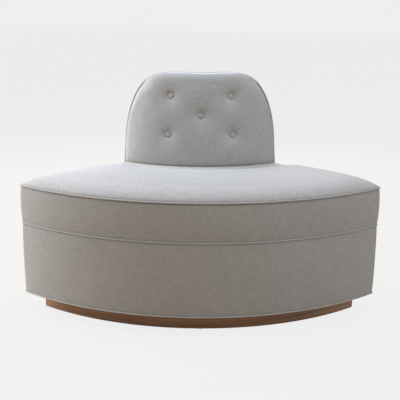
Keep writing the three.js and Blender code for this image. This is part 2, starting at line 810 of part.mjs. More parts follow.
const topRow = { height: backTop - buttonTopDrop, along: buttonTopSpacing / 2 };
const middleRow = { height: backTop - buttonMiddleDrop, along: 0 };
const bottomRow = { height: backTop - buttonBottomDrop, along: buttonBottomSpacing / 2 };
const buttons = [
  { name: 'back_button_top_left', height: topRow.height, along: -topRow.along },
  { name: 'back_button_top_right', height: topRow.height, along: topRow.along },
  { name: 'back_button_middle', height: middleRow.height, along: 0 },
  { name: 'back_button_bottom_left', height: bottomRow.height, along: -bottomRow.along },
  { name: 'back_button_bottom_right', height: bottomRow.height, along: bottomRow.along },
];

// Depth of the pad's face behind the welt plane: crowned, filling out above the seat, drawn in
// at each button.
function padFace(along, height) {
  const toSide = archHalf(height, panelEdge) - Math.abs(along);
  const toTop = archTop(along, panelEdge) - height;
  const fill = mix(backFootCrown / backCrown, 1, roll(height - footLevel, backFootRoll));
  const crown = backCrown * fill * roll(toSide, backEdgeRoll) * roll(toTop, backEdgeRoll);
  let tuft = 0;
  for (const button of buttons) {
    const away = Math.hypot(along - button.along, height - button.height);
    tuft = Math.max(tuft, tuftDepth * Math.exp(-((away / tuftSpread) ** 2)));
  }
  return -coverLip - Math.max(crown - tuft, 0);
}

// Stands a shape, drawn up the Y axis, on the pad's face at a button.
function placeOnBack(geometry, button) {
  const { along, height } = button;
  const [x, y, z] = bend(along, height, padFace(along, height));
  const turn = along / faceRadius;
  const outward = new THREE.Vector3(Math.sin(turn), -Math.cos(turn), rakeSlope).normalize();
  const spin = new THREE.Quaternion().setFromUnitVectors(new THREE.Vector3(0, 1, 0), outward);
  return geometry.applyQuaternion(spin).translate(x, y, z);
}

function cutTwineHoles(body) {
  return buttons.reduce((rest, button) => {
    const hole = new THREE.CylinderGeometry(twineDiameter, twineDiameter, 4 * backDepth, 6);
    return rest.subtract(solid(placeOnBack(hole, button)));
  }, body);
}

// Covered button with its twine and the toggle that holds it behind the front panel.
function buildButtons() {
  for (const button of buttons) {
    const surface = padFace(button.along, button.height);
    const reach = (frameFront - surface) * Math.cos(rakeAngle) + fit;
    const profile = [
      [0, -reach - toggleThickness],
      [toggleDiameter / 2, -reach - toggleThickness],
      [toggleDiameter / 2, -reach],
      [twineDiameter / 2, -reach],
      [twineDiameter / 2, buttonSeat],
    ];
    for (let k = 1; k <= domeSteps; k++) {
      const turn = Math.PI * (k / domeSteps - 0.5);
      const across = (buttonDiameter / 2) * Math.cos(turn);
      profile.push([across, buttonSeat + (buttonHeight / 2) * (1 + Math.sin(turn))]);
    }
    const outline = profile.map(([x, y]) => new THREE.Vector2(x, y));
    const turned = new THREE.LatheGeometry(outline, buttonSides);
    add(button.name, placeOnBack(meshOf(solid(turned)), button), 'fabric');
  }
}

function buildBackFrame() {
  for (const [side, angle] of Object.entries(postAngles)) {
    add(`back_post_${side}`, radialSlab(postProfile(0), postWidth, angle), 'plywood');
  }
  const plate = {
    inset: panelEdge + fabric,
    foot: footLevel + fit,
    columns: plateColumns,
    rows: plateRows,
  };
  const panel = archSheet({
    ...plate,
    depthFront: () => panelFront,
    depthRear: () => panelFront + backPanelThickness,
  });
  add('back_panel', meshOf(cutTwineHoles(solid(panel))), 'plywood');
  const rim = [
    [plate.inset, frameFront],
    [plate.inset, frameRear],
    [rimInner, frameRear],
    [rimInner, frameFront],
  ];
  add('back_rim', archStrip(rim, footLevel + fit), 'plywood');
  const betweenRows = (middleRow.height + topRow.height) / 2;
  const rails = { lower: footLevel + fit, upper: betweenRows - railHeight / 2 };
  for (const [name, low] of Object.entries(rails)) {
    const high = low + railHeight;
    const reach = archHalf(high, rimInner) - fit * 2;
    const rail = bentBlock({
      from: -reach,
      to: reach,
      low,
      high,
      depthFront: railFront,
      depthRear: railFront + railThickness,
    });
    add(`back_rail_${name}`, rail, 'plywood');
  }
  add('back_outside_panel', archSheet({
    ...plate,
    depthFront: () => outsideFront,
    depthRear: () => outsideFront + outsidePanelThickness,
  }), 'plywood');
}

function buildBackUpholstery() {
  const padSheet = {
    inset: padEdge,
    foot: footLevel + fit,
    columns: padColumns,
    rows: padRows,
    pins: buttons.map(({ along, height }) => [along, height]),
  };
  const cover = archSheet({
    ...padSheet,
    depthFront: padFace,
    depthRear: (along, height) => padFace(along, height) + fabric,
  });
  add('back_front_cover', meshOf(cutTwineHoles(solid(cover))), 'fabric');
  const pad = archSheet({
    ...padSheet,
    depthFront: (along, height) => padFace(along, height) + fabric + fit,
    depthRear: () => padDepth,
  });
  add('back_pad', meshOf(cutTwineHoles(solid(pad))), 'foam');

  const bandFront = weltRadius + fit;
  const bandRear = backDepth - weltRadius - fit;
  const outer = bandShares.map((share) => {
    return [bandInset(share, backBandTuck, backBandBulge), mix(bandFront, bandRear, share)];
  });
  const inner = outer.map(([inset, depth]) => [inset + fabric, depth]).reverse();
  add('back_band', archStrip([...outer, ...inner], footLevel + fit), 'fabric');
  const weltDepths = { front: 0, rear: backDepth };
  for (const [end, depth] of Object.entries(weltDepths)) {
    const welt = archStrip(circleProfile(0, depth, weltRadius), footLevel + fit);
    add(`welt_back_${end}`, welt, 'fabric');
  }
  add('back_outside_cover', archSheet({
    inset: padEdge,
    foot: footLevel + fit,
    columns: plateColumns,
    rows: plateRows,
    depthFront: () => outsideCover,
    depthRear: () => outsideCover + fabric,
  }), 'fabric');
}

buildPlinth();
buildGlides();
buildBaseFrame();
buildDustCover();
buildWebbing();
buildSeat();
buildSeatWelts();
buildBaseCover();
buildBackFrame();
buildBackUpholstery();
buildButtons();

// The origin is on the floor, under the middle of the whole sofa.
const extent = new THREE.Box3().setFromObject(sofa);
sofa.position.y = -(extent.min.y + extent.max.y) / 2;

export default sofa;
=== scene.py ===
import math

import bpy
import numpy as np
from mathutils import Matrix, Vector, noise


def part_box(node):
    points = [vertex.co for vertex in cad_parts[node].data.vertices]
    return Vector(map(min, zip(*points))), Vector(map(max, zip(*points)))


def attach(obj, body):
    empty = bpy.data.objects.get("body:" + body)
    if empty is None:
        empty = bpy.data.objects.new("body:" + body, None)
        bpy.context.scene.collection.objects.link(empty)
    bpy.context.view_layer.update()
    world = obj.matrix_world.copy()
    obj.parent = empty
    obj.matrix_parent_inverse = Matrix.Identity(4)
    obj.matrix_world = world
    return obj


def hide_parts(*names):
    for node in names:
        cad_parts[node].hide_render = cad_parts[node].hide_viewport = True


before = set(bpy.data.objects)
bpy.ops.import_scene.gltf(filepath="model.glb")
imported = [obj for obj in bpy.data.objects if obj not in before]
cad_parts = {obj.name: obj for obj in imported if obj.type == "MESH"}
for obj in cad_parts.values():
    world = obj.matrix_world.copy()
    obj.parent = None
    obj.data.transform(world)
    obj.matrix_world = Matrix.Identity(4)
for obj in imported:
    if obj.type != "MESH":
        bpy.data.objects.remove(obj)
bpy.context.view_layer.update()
print("frame loaded:", len(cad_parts), "nodes")

plan = {
    "rearRadius": 0.400,
    "frontRadius": 0.9145,
    "wedgeHalf": math.radians(45),
    "sideOffset": 0.07048,  # from the shared centre to a side plane
    "cornerRadius": 0.010,
    "frontSteps": 72,  # half of the front curve
    "rearSteps": 26,
    "sideSteps": 40,
    "cornerSteps": 7,
    "weldGap": 0.00002,  # vertices closer than this become one
    "mapStep": 2,  # metres between two cloths or boards on one map
}
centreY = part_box("base_cover")[0].y + plan["frontRadius"]


def mix(a, b, share):
    return a + (b - a) * share


def smooth(low, high, value):
    share = np.clip((value - low) / (high - low), 0, 1)
    return share * share * (3 - 2 * share)


def roll(distance, width, power=2.4):
    # rises from 0 at an edge to 1 one width away from it, as a stuffed edge does
    rest = 1 - np.clip(distance / width, 0, 1)
    return (1 - rest**power) ** (1 / power)


def polar(radius, angle):
    return radius * np.sin(angle), centreY - radius * np.cos(angle)


def sideAngle(radius, inset):
    return plan["wedgeHalf"] - np.arcsin((plan["sideOffset"] + inset) / radius)


def fromCentre(x, y):
    # radius, turn from the middle line, and distance from the nearer side plane
    radius = np.hypot(x, y - centreY)
    turn = np.arctan2(x, centreY - y)
    half = plan["wedgeHalf"]
    toSide = (centreY - y) * math.sin(half) - np.abs(x) * math.cos(half) - plan["sideOffset"]
    return radius, turn, toSide


def toEdges(x, y):
    # distances from the front, the nearer side and the rear of the wedge
    radius, _, toSide = fromCentre(x, y)
    return np.stack([plan["frontRadius"] - radius, toSide, radius - plan["rearRadius"]])


def downSide(x, y):
    # distance from the shared centre, measured along the side plane
    half = plan["wedgeHalf"]
    return np.abs(x) * math.sin(half) + (centreY - y) * math.cos(half)


def ripple(places, size, seed):
    # gentle unevenness from -1 to 1, the same at each run
    shift = Vector((seed * 7.31, seed * 3.17, seed * 5.53))
    return np.array([noise.noise(Vector(place) / size + shift) for place in places])


def deselectAll():
    bpy.ops.object.select_all(action="DESELECT")


def activate(piece):
    deselectAll()
    piece.select_set(True)
    bpy.context.view_layer.objects.active = piece


def toEdit():
    bpy.ops.object.mode_set(mode="EDIT")
    bpy.ops.mesh.select_mode(type="VERT")
    bpy.ops.mesh.select_all(action="SELECT")


def toObject():
    bpy.ops.object.mode_set(mode="OBJECT")


def newest(name):
    piece = bpy.context.object
    piece.name = name
    piece.data.name = name
    bpy.ops.object.transform_apply(location=True, rotation=True, scale=True)
    return piece


def readAll(items, key, kind=np.float64, width=1):
    values = np.empty(len(items) * width, dtype=kind)
    items.foreach_get(key, values)
    return values


def readPlaces(piece):
    return readAll(piece.data.vertices, "co", width=3).reshape(-1, 3)


def writePlaces(piece, places):
    piece.data.vertices.foreach_set("co", np.asarray(places, dtype=np.float32).ravel())
    piece.data.update()


def turnOutward():
    bpy.ops.mesh.select_all(action="SELECT")
    bpy.ops.mesh.normals_make_consistent(inside=False)


def closeUp(piece):
    activate(piece)
    toEdit()
    bpy.ops.mesh.remove_doubles(threshold=plan["weldGap"])
    turnOutward()
    toObject()


def applyModifier(piece, kind, **values):
    activate(piece)
    modifier = piece.modifiers.new(kind.title(), kind)
    for key, value in values.items():
        setattr(modifier, key, value)
    bpy.ops.object.modifier_apply(modifier=modifier.name)


def layWeave(piece, along, up):
    # the piece's own map, in metres along and up the cloth, from arrays with one value a vertex
    corners = cornerVertices(piece)
    layWeaveOnCorners(piece, along[corners], up[corners])


def layWeaveOnCorners(piece, along, up):
    while piece.data.uv_layers:
        piece.data.uv_layers.remove(piece.data.uv_layers[0])
    layer = piece.data.uv_layers.new(name="weave")
    layer.data.foreach_set("uv", np.stack([along, up], axis=1).astype(np.float32).ravel())


def cornerVertices(piece):
    return readAll(piece.data.loops, "vertex_index", np.int32)


def cornerFaces(piece):
    totals = readAll(piece.data.polygons, "loop_total", np.int32)
    return np.repeat(np.arange(len(totals)), totals)


def faceCentres(piece):
    return readAll(piece.data.polygons, "center", width=3).reshape(-1, 3)


def settle(piece, smoothAngle, material, slot, *nodes):
    activate(piece)
    bpy.ops.object.shade_smooth_by_angle(angle=math.radians(smoothAngle))
    piece.data.materials.clear()
    piece.data.materials.append(material)
    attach(piece, "root")
    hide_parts(*nodes)


def settleCloth(piece, smoothAngle, *nodes):
    settle(piece, smoothAngle, clothFinish, "fabric", *nodes)


class Wire:
    # one value in a material, for plain sums with other values and numbers
    def __init__(self, finish, socket):
        self.finish = finish
        self.socket = socket

    def worked(self, operation, *others):
        return self.finish.node("ShaderNodeMath", {"operation": operation}, (self, *others))

    def __add__(self, other):
        return self.worked("ADD", other)

    def __mul__(self, other):
        return self.worked("MULTIPLY", other)

    def __truediv__(self, other):
        return self.worked("DIVIDE", other)

    def sine(self):
        return self.worked("SINE")

    def most(self, other):
        return self.worked("MAXIMUM", other)


class Finish:
    # one material, or the world, and the ways to add nodes to it
    def __init__(self, name, owner=None):
        self.material = owner or bpy.data.materials.new(name)
        self.material.use_nodes = True
        self.tree = self.material.node_tree
        self.tree.nodes.clear()

    def node(self, kind, settings=None, inputs=(), output=0):
        made = self.tree.nodes.new(kind)
        for key, value in (settings or {}).items():
            if key == "stops":
                self.setStops(made.color_ramp, value)
            else:
                setattr(made, key, value)
        pairs = inputs.items() if isinstance(inputs, dict) else enumerate(inputs)
        for key, value in pairs:
            if isinstance(value, Wire):
                self.tree.links.new(value.socket, made.inputs[key])
            else:
                made.inputs[key].default_value = value
        return Wire(self, made.outputs[output]) if len(made.outputs) else None

    def setStops(self, ramp, stops):
        while len(ramp.elements) < len(stops):
            ramp.elements.new(0.5)
        for element, (place, colour) in zip(ramp.elements, stops):
            element.position = place
            element.color = (*colour, 1)

    def places(self):
        return self.node("ShaderNodeTexCoord", output="Object")

    def clothPlaces(self):
        return self.node("ShaderNodeUVMap", {"uv_map": "weave"})

    def split(self, vector):
        parted = self.node("ShaderNodeSeparateXYZ", inputs={0: vector})
        return [Wire(self, socket) for socket in parted.socket.node.outputs]

    def joined(self, x, y, z):
        return self.node("ShaderNodeCombineXYZ", inputs=(x, y, z))

    def scaled(self, vector, scale):
        return self.node("ShaderNodeMapping", inputs={"Vector": vector, "Scale": scale})

    def cloud(self, vector, scale, detail=2.0, roughness=0.5):
        values = {"Vector": vector, "Scale": scale, "Detail": detail, "Roughness": roughness}
        return self.node("ShaderNodeTexNoise", {"noise_dimensions": "3D"}, values)

    def ramp(self, value, stops):
        return self.node("ShaderNodeValToRGB", {"stops": stops}, {0: value})

    def blended(self, share, first, second):
        inputs = {0: share, 6: first, 7: second}  # 6 and 7 are the two colours
        return self.node("ShaderNodeMix", {"data_type": "RGBA"}, inputs, output=2)

    def bumped(self, height, strength, distance):
        values = {"Height": height, "Strength": strength, "Distance": distance}
        return self.node("ShaderNodeBump", inputs=values)

    def finished(self, constants, **varying):
        inputs = {**constants, **{key.replace("_", " "): value for key, value in varying.items()}}
        shader = self.node("ShaderNodeBsdfPrincipled", inputs=inputs)
        self.node("ShaderNodeOutputMaterial", inputs={"Surface": shader})
        return self.material


def grey(value, warm=0.0):
    return (value * (1 + warm), value, value * (1 - warm), 1)


def weighed(layers, shares):
    # the sum of the named layers, each times its share
    parts = [layers[name] * share for name, share in shares.items()]
    total = parts[0]
    for part in parts[1:]:
        total = total + part
    return total


linen = {
    "threadPitch": 0.0013,
    "light": (0.590, 0.582, 0.570),
    "dark": (0.336, 0.326, 0.313),
    "darkTo": 0.34,  # tones below it are dark, and those above the next one light
    "lightFrom": 0.78,
    "thinSlub": (0.016, 0.00117),  # length and width of the common threads
    "thickSlub": (0.030, 0.0034),  # and of the heavier ones
    "softPace": 9.0,  # soft spots to a metre
    "toneShares": {
        "weft": 0.20, "warp": 0.16, "thickWeft": 0.34, "thickWarp": 0.30, "threads": 0.06, "soft": 0.08,
    },
    "reliefShares": {"threads": 0.6, "weft": 0.4, "warp": 0.3, "thickWeft": 0.5, "thickWarp": 0.4},
    "relief": 0.7,
    "weaveDepth": 0.00022,
    "roughness": 0.93,
    "roughSpread": 0.08,
    "sheen": 0.18,
}


def linenMaterial():
    cloth = Finish("linen_cloth")
    along, up, _ = cloth.split(cloth.clothPlaces())

    def streaks(run, width, level):
        # each kind of thread is cut from the noise at its own level
        return cloth.cloud(cloth.joined(along / run, up / width, level), 1.0)

    thinLength, thinWidth = linen["thinSlub"]
    thickLength, thickWidth = linen["thickSlub"]
    turn = math.pi / linen["threadPitch"]
    layers = {
        "weft": streaks(thinLength, thinWidth, 0.0),
        "warp": streaks(thinWidth, thinLength, 5.0),
        "thickWeft": streaks(thickLength, thickWidth, 8.0),
        "thickWarp": streaks(thickWidth, thickLength, 11.0),
        "soft": cloth.cloud(cloth.joined(along, up, 2.0), linen["softPace"], 3.0),
        "threads": (along * turn).sine() * (up * turn).sine() * 0.5 + 0.5,
    }
    tone = weighed(layers, linen["toneShares"])
    stops = [(linen["darkTo"], linen["dark"]), (linen["lightFrom"], linen["light"])]
    height = weighed(layers, linen["reliefShares"])
    return cloth.finished(
        {"Sheen Weight": linen["sheen"], "Sheen Roughness": 0.5, "Specular IOR Level": 0.25},
        Base_Color=cloth.ramp(tone, stops),
        Roughness=tone * linen["roughSpread"] + (linen["roughness"] - linen["roughSpread"] / 2),
        Normal=cloth.bumped(height, linen["relief"], linen["weaveDepth"]),
    )


walnut = {
    "stops": [(0.28, (0.138, 0.064, 0.029)), (0.48, (0.375, 0.198, 0.100)), (0.72, (0.545, 0.330, 0.185))],
    "grain": (0.30, 0.0085),  # length and width of the grain's bands
    "wander": 2.2,
    "wanderPace": (3.0, 9.0),  # changes to a metre, along and across the board
    "porePace": (70.0, 2600.0),
    "broadPace": (5.0, 22.0),
    "toneShares": {"bands": 0.75, "broad": 0.35, "pores": -0.12},
    "reliefShares": {"bands": 0.3, "pores": 0.7},
    "relief": (0.25, 0.0003),
    "roughness": 0.40,
    "roughSpread": 0.14,
}


def walnutMaterial():
    wood = Finish("walnut_oiled")
    along, up, _ = wood.split(wood.clothPlaces())

    def figure(pace, level):
        return wood.cloud(wood.joined(along * pace[0], up * pace[1], level), 1.0)

    length, width = walnut["grain"]
    across = up / width + figure(walnut["wanderPace"], 1.0) * walnut["wander"]
    layers = {
        "bands": wood.cloud(wood.joined(along / length, across, 3.0), 1.0, 4.0, 0.6),
        "pores": figure(walnut["porePace"], 7.0),
        "broad": figure(walnut["broadPace"], 9.0),
    }
    return wood.finished(
        {"Specular IOR Level": 0.45},
        Base_Color=wood.ramp(weighed(layers, walnut["toneShares"]), walnut["stops"]),
        Roughness=layers["pores"] * walnut["roughSpread"] + walnut["roughness"],
        Normal=wood.bumped(weighed(layers, walnut["reliefShares"]), *walnut["relief"]),
    )


inner = {
    # light and dark tone of each
    "ply": ((0.62, 0.42, 0.24), (0.44, 0.27, 0.14)),
    "webbing": ((0.055, 0.050, 0.044), (0.020, 0.018, 0.016)),
    "hessian": ((0.42, 0.30, 0.16), (0.24, 0.16, 0.08)),
    "lining": ((0.022, 0.022, 0.023), (0.010, 0.010, 0.011)),
    "nylon": ((0.74, 0.73, 0.70), (0.62, 0.61, 0.58)),
}
plyPitch = 0.003  # thickness of two plies


def plywoodMaterial():
    wood = Finish("birch_plywood")
    light, dark = inner["ply"]
    _, _, z = wood.split(wood.places())
    plies = (z * (2 * math.pi / plyPitch)).sine() * 0.5 + 0.5
    figure = wood.cloud(wood.scaled(wood.places(), (6, 40, 40)), 1.0, 4.0)
    return wood.finished(
        {"Specular IOR Level": 0.3},
        Base_Color=wood.ramp(figure * 0.8 + plies * 0.2, [(0.3, dark), (0.7, light)]),
        Roughness=figure * 0.2 + 0.6,
        Normal=wood.bumped(figure, 0.2, 0.0003),
    )


def wovenMaterial(name, pair, pitch, rough):
    cloth = Finish(name)
    light, dark = pair
    x, y, z = cloth.split(cloth.places())
    turn = math.pi / pitch
    threads = (x * turn).sine() * ((y + z) * turn).sine() * 0.5 + 0.5
    spots = cloth.cloud(cloth.places(), 120.0)
    return cloth.finished(
        {"Specular IOR Level": 0.2},
        Base_Color=cloth.ramp(threads * 0.6 + spots * 0.4, [(0.25, dark), (0.75, light)]),
        Roughness=spots * 0.1 + rough,
        Normal=cloth.bumped(threads, 0.6, pitch * 0.25),
    )


def speckledMaterial(name, pair, scale, rough):
    body = Finish(name)
    light, dark = pair
    grain = body.cloud(body.places(), scale, 3.0)
    return body.finished(
        {"Specular IOR Level": 0.3},
        Base_Color=body.ramp(grain, [(0.35, dark), (0.65, light)]),
        Roughness=grain * 0.15 + rough,
        Normal=body.bumped(grain, 0.3, 0.0004),
    )


clothFinish = linenMaterial()
walnutFinish = walnutMaterial()
innerFinishes = {
    "plywood": plywoodMaterial(),
    "webbing": wovenMaterial("jute_webbing", inner["webbing"], 0.0020, 0.80),
    "hessian": wovenMaterial("hessian_sheet", inner["hessian"], 0.0018, 0.85),
    "lining": speckledMaterial("black_lining", inner["lining"], 500.0, 0.80),
    "nylon": speckledMaterial("pale_nylon", inner["nylon"], 300.0, 0.45),
}
print("finishes made")


view = {
    "place": (-0.0383, -2.4026, 0.9995),
    "yaw": -0.0155,
    "down": 0.2572,
    "roll": 0.0109,
    "lens": 65.78,
    "sensor": 36,
}


def placeCamera():
    data = bpy.data.cameras.new("camera")
    data.lens = view["lens"]
    data.sensor_width = view["sensor"]
    camera = bpy.data.objects.new("camera", data)
    bpy.context.scene.collection.objects.link(camera)
    turn = Matrix.Rotation(view["yaw"], 4, "Z") @ Matrix.Rotation(math.pi / 2 - view["down"], 4, "X")
    camera.matrix_world = Matrix.Translation(view["place"]) @ turn @ Matrix.Rotation(view["roll"], 4, "Z")
    bpy.context.scene.camera = camera


lamps = {
    # name: place, size across, watts, colour; all are aimed at the middle of the seat
    "topFront": ((0.0, -1.0, 3.2), 2.6, 57.5, (0.99, 1.0, 0.99)),
    "nearTop": ((-0.1, 0.15, 1.9), 0.9, 8.0, (0.45, 0.65, 1.0)),
    "behind": ((0.3, 2.6, 1.6), 2.0, 51, (0.99, 0.98, 1.0)),
    "leftBack": ((-2.8, 1.6, 1.8), 1.8, 63, (0.92, 0.93, 1.0)),
    "leftLow": ((-3.0, 0.6, 1.2), 1.6, 83, (0.96, 0.98, 1.0)),
    "right": ((3.2, -0.6, 1.3), 1.6, 24, (0.79, 0.89, 1.0)),
}
room = {
    "aim": (0.0, 0.0, 0.4),
    "shown": 0.857,  # the photograph's pale ground, on the wall
    "floorSize": 60,
    "floorShown": 0.925,
    "floorPlain": 0.90,  # share of the floor that shows the plain ground
    "floor": 0.42,
    "floorWarmth": 0.16,
    "ambient": (0.120, 0.092, 0.064, 1),
}


def lightRoom():
    for name, (place, size, watts, colour) in lamps.items():
        data = bpy.data.lights.new(name, "AREA")
        data.shape = "SQUARE"
        data.size = size
        data.energy = watts
        data.color = colour
        lamp = bpy.data.objects.new(name, data)
        bpy.context.scene.collection.objects.link(lamp)
        aimed = (Vector(room["aim"]) - Vector(place)).to_track_quat("-Z", "Y")
        lamp.matrix_world = Matrix.Translation(place) @ aimed.to_matrix().to_4x4()

    world = bpy.data.worlds.new("room")
    bpy.context.scene.world = world
    wall = Finish("room", world)
    tone = wall.blended(seenPlainly(wall), room["ambient"], grey(room["shown"]))
    ground = wall.node("ShaderNodeBackground", inputs={"Color": tone, "Strength": 1.0})
    wall.node("ShaderNodeOutputWorld", inputs={"Surface": ground})


def seenPlainly(finish):
    # 1 where the camera, a mirror or glass looks straight at the ground
    camera = finish.node("ShaderNodeLightPath")
    rays = camera.socket.node.outputs
    glossy, through = (Wire(finish, rays[kind]) for kind in ("Is Glossy Ray", "Is Transmission Ray"))
    return camera.most(glossy).most(through)


def layFloor():
    deselectAll()
    bpy.ops.mesh.primitive_plane_add(size=room["floorSize"], location=(0, 0, 0))
    floor = newest("floor")
    pale = Finish("pale_floor")
    lit = pale.node("ShaderNodeBsdfDiffuse", inputs={"Color": grey(room["floor"], room["floorWarmth"])})
    plain = pale.node("ShaderNodeEmission", inputs={"Color": grey(1.0), "Strength": room["floorShown"]})
    shader = pale.node("ShaderNodeMixShader", inputs=(seenPlainly(pale) * room["floorPlain"], lit, plain))
    pale.node("ShaderNodeOutputMaterial", inputs={"Surface": shader})
    floor.data.materials.append(pale.material)


bpy.context.scene.view_settings.view_transform = "Standard"
placeCamera()
lightRoom()
layFloor()
print("camera, floor and light placed")


cover = {
    "fabric": 0.002,
    "weltRadius": 0.0025,
    "weltSides": 14,
    "weltInset": 0.0003,
    "sunkWelt": 0.0010,  # the middle welt lies lower between its two covers
    "bottomSeam": 0.062,
    "baseLow": 0.0668,
    "midSeam": 0.306,
    "midGap": 0.0014,  # from the line of a seam to the edge of the covers
    "topSeam": 0.4325,
    "topGap": 0.0021,
    # each cover is drawn in by its tuck at the seams, and swells by its bulge between them
    "band": {"tuck": 0.0027, "bulge": 0.0022, "steps": 20, "waviness": 0.0007, "seed": 1},
    "base": {"tuck": 0.0019, "bulge": 0.0012, "steps": 30, "waviness": 0.0008, "seed": 2},
    "bulgePower": 0.45,
    "holdPower": 0.6,
    "waveSizes": (0.11, 0.045),
    "bias": 0.7,  # slope at which the cloth of a welt is cut
}


def sweepRound():
    # the selected profile travels from the middle of the front round the wedge and back
    front, rear, corner = plan["frontRadius"], plan["rearRadius"], plan["cornerRadius"]
    frontTurn = sideAngle(front - corner, corner)
    rearTurn = sideAngle(rear + corner, corner)
    sideNormal = math.pi / 2 + plan["wedgeHalf"]
    middle = (0, centreY, 0)

    def turnBy(angle, around, steps):
        bpy.ops.mesh.spin(steps=steps, angle=angle, center=around, axis=(0, 0, -1))

    def pushBy(start, end, steps):
        move = (Vector(end) - Vector(start)) / steps
        for _ in range(steps):
            bpy.ops.mesh.extrude_region_move(TRANSFORM_OT_translate={"value": move})

    centres = {}
    for sign in (1, -1):
        centres["front", sign] = (*polar(front - corner, sign * frontTurn), 0)
        centres["rear", sign] = (*polar(rear + corner, sign * rearTurn), 0)
    turnBy(frontTurn, middle, plan["frontSteps"])
    turnBy(sideNormal - frontTurn, centres["front", 1], plan["cornerSteps"])
    pushBy(centres["front", 1], centres["rear", 1], plan["sideSteps"])
    turnBy(math.pi + rearTurn - sideNormal, centres["rear", 1], plan["cornerSteps"])
    turnBy(-2 * rearTurn, middle, 2 * plan["rearSteps"])
    turnBy(math.pi + rearTurn - sideNormal, centres["rear", -1], plan["cornerSteps"])
    pushBy(centres["rear", -1], centres["front", -1], plan["sideSteps"])
    turnBy(sideNormal - frontTurn, centres["front", -1], plan["cornerSteps"])
    turnBy(frontTurn, middle, plan["frontSteps"])


def runRound(name, profile):
    # profile is a closed loop of (inset, height)
    deselectAll()
    start = centreY - plan["frontRadius"]
    bpy.ops.mesh.primitive_circle_add(vertices=len(profile))
    piece = newest(name)
    writePlaces(piece, [(0, start + inset, height) for inset, height in profile])
    toEdit()
    sweepRound()
    toObject()
    closeUp(piece)
    return piece


def mapRound(piece, weltLevel=None):
    # a new length of cloth on each side of the wedge, sewn at the corners
    centres = faceCentres(piece)
    region = np.abs(toEdges(centres[:, 0], centres[:, 1])).argmin(axis=0)[cornerFaces(piece)]
    x, y, up = readPlaces(piece)[cornerVertices(piece)].T
    _, turn, _ = fromCentre(x, y)
    along = np.choose(region, [
        plan["frontRadius"] * turn,
        plan["mapStep"] + downSide(x, y) * np.sign(x),
        2 * plan["mapStep"] + plan["rearRadius"] * turn,
    ])
    if weltLevel is not None:
        up = (weltLevel - cover["weltRadius"]) + (up - weltLevel) + np.choose(region, toEdges(x, y))
        along, up = along + up * cover["bias"], up - along * cover["bias"]
    layWeaveOnCorners(piece, along, up)


def coverProfile(low, high, shape):
    # the outer line, then back down the inner side in fewer steps
    shares = 0.5 - 0.5 * np.cos(np.linspace(0, math.pi, shape["steps"] + 1))
    most = shape["tuck"] + shape["bulge"]
    swelling = shape["tuck"] - most * np.sin(math.pi * shares) ** cover["bulgePower"]
    outer = list(zip(swelling, mix(low, high, shares)))
    return outer + [(inset + cover["fabric"], height) for inset, height in outer[::-3]]


def uneven(piece, low, high, shape):
    # cloth over foam is never quite true: small soft swells between the seams
    places = readPlaces(piece)
    share = np.clip((places[:, 2] - low) / (high - low), 0, 1)
    hold = np.sin(math.pi * share) ** cover["holdPower"]
    broad, fine = cover["waveSizes"]
    wave = ripple(places * (1, 1, 0.8), broad, shape["seed"])
    wave = wave + 0.5 * ripple(places, fine, shape["seed"] + 3)
    _, turn, _ = fromCentre(places[:, 0], places[:, 1])
    toFront, toSide, toRear = toEdges(places[:, 0], places[:, 1])
    outward = np.stack([np.sin(turn), -np.cos(turn)], axis=1)
    outward[toRear < np.minimum(toFront, toSide)] *= -1
    atSide = toSide < np.minimum(toFront, toRear)
    half = plan["wedgeHalf"]
    sideways = np.sign(places[atSide, 0]) * math.cos(half)
    outward[atSide] = np.stack([sideways, np.full(atSide.sum(), math.sin(half))], axis=1)
    places[:, :2] += outward * (shape["waviness"] * hold * wave)[:, None]
    writePlaces(piece, places)


def makeCover(name, node, low, high, shape):
    piece = runRound(name, coverProfile(low, high, shape))
    uneven(piece, low, high, shape)
    mapRound(piece)
    settleCloth(piece, 50, node)


def makeRoundWelt(name, node, level, inset):
    profile = []
    for step in range(cover["weltSides"]):
        turn = 2 * math.pi * step / cover["weltSides"]
        across = inset + cover["weltRadius"] * math.cos(turn)
        profile.append((across, level + cover["weltRadius"] * math.sin(turn)))
    welt = runRound(name, profile)
    mapRound(welt, level)
    settleCloth(welt, 60, node)


def makeCovers():
    middle, top, gap = cover["midSeam"], cover["topSeam"], cover["midGap"]
    bottom = cover["bottomSeam"] + cover["weltRadius"]
    makeCover("seatBand", "seat_band", middle + gap, top - cover["topGap"], cover["band"])
    makeCover("baseCover", "base_cover", cover["baseLow"], middle - gap, cover["base"])
    makeRoundWelt("seatTopWelt", "welt_seat_top", top, cover["weltInset"])
    makeRoundWelt("seatMiddleWelt", "welt_seat_middle", middle, cover["sunkWelt"])
    makeRoundWelt("baseBottomWelt", "welt_base_bottom", bottom, cover["weltInset"])


makeCovers()
print("covers and welts made")


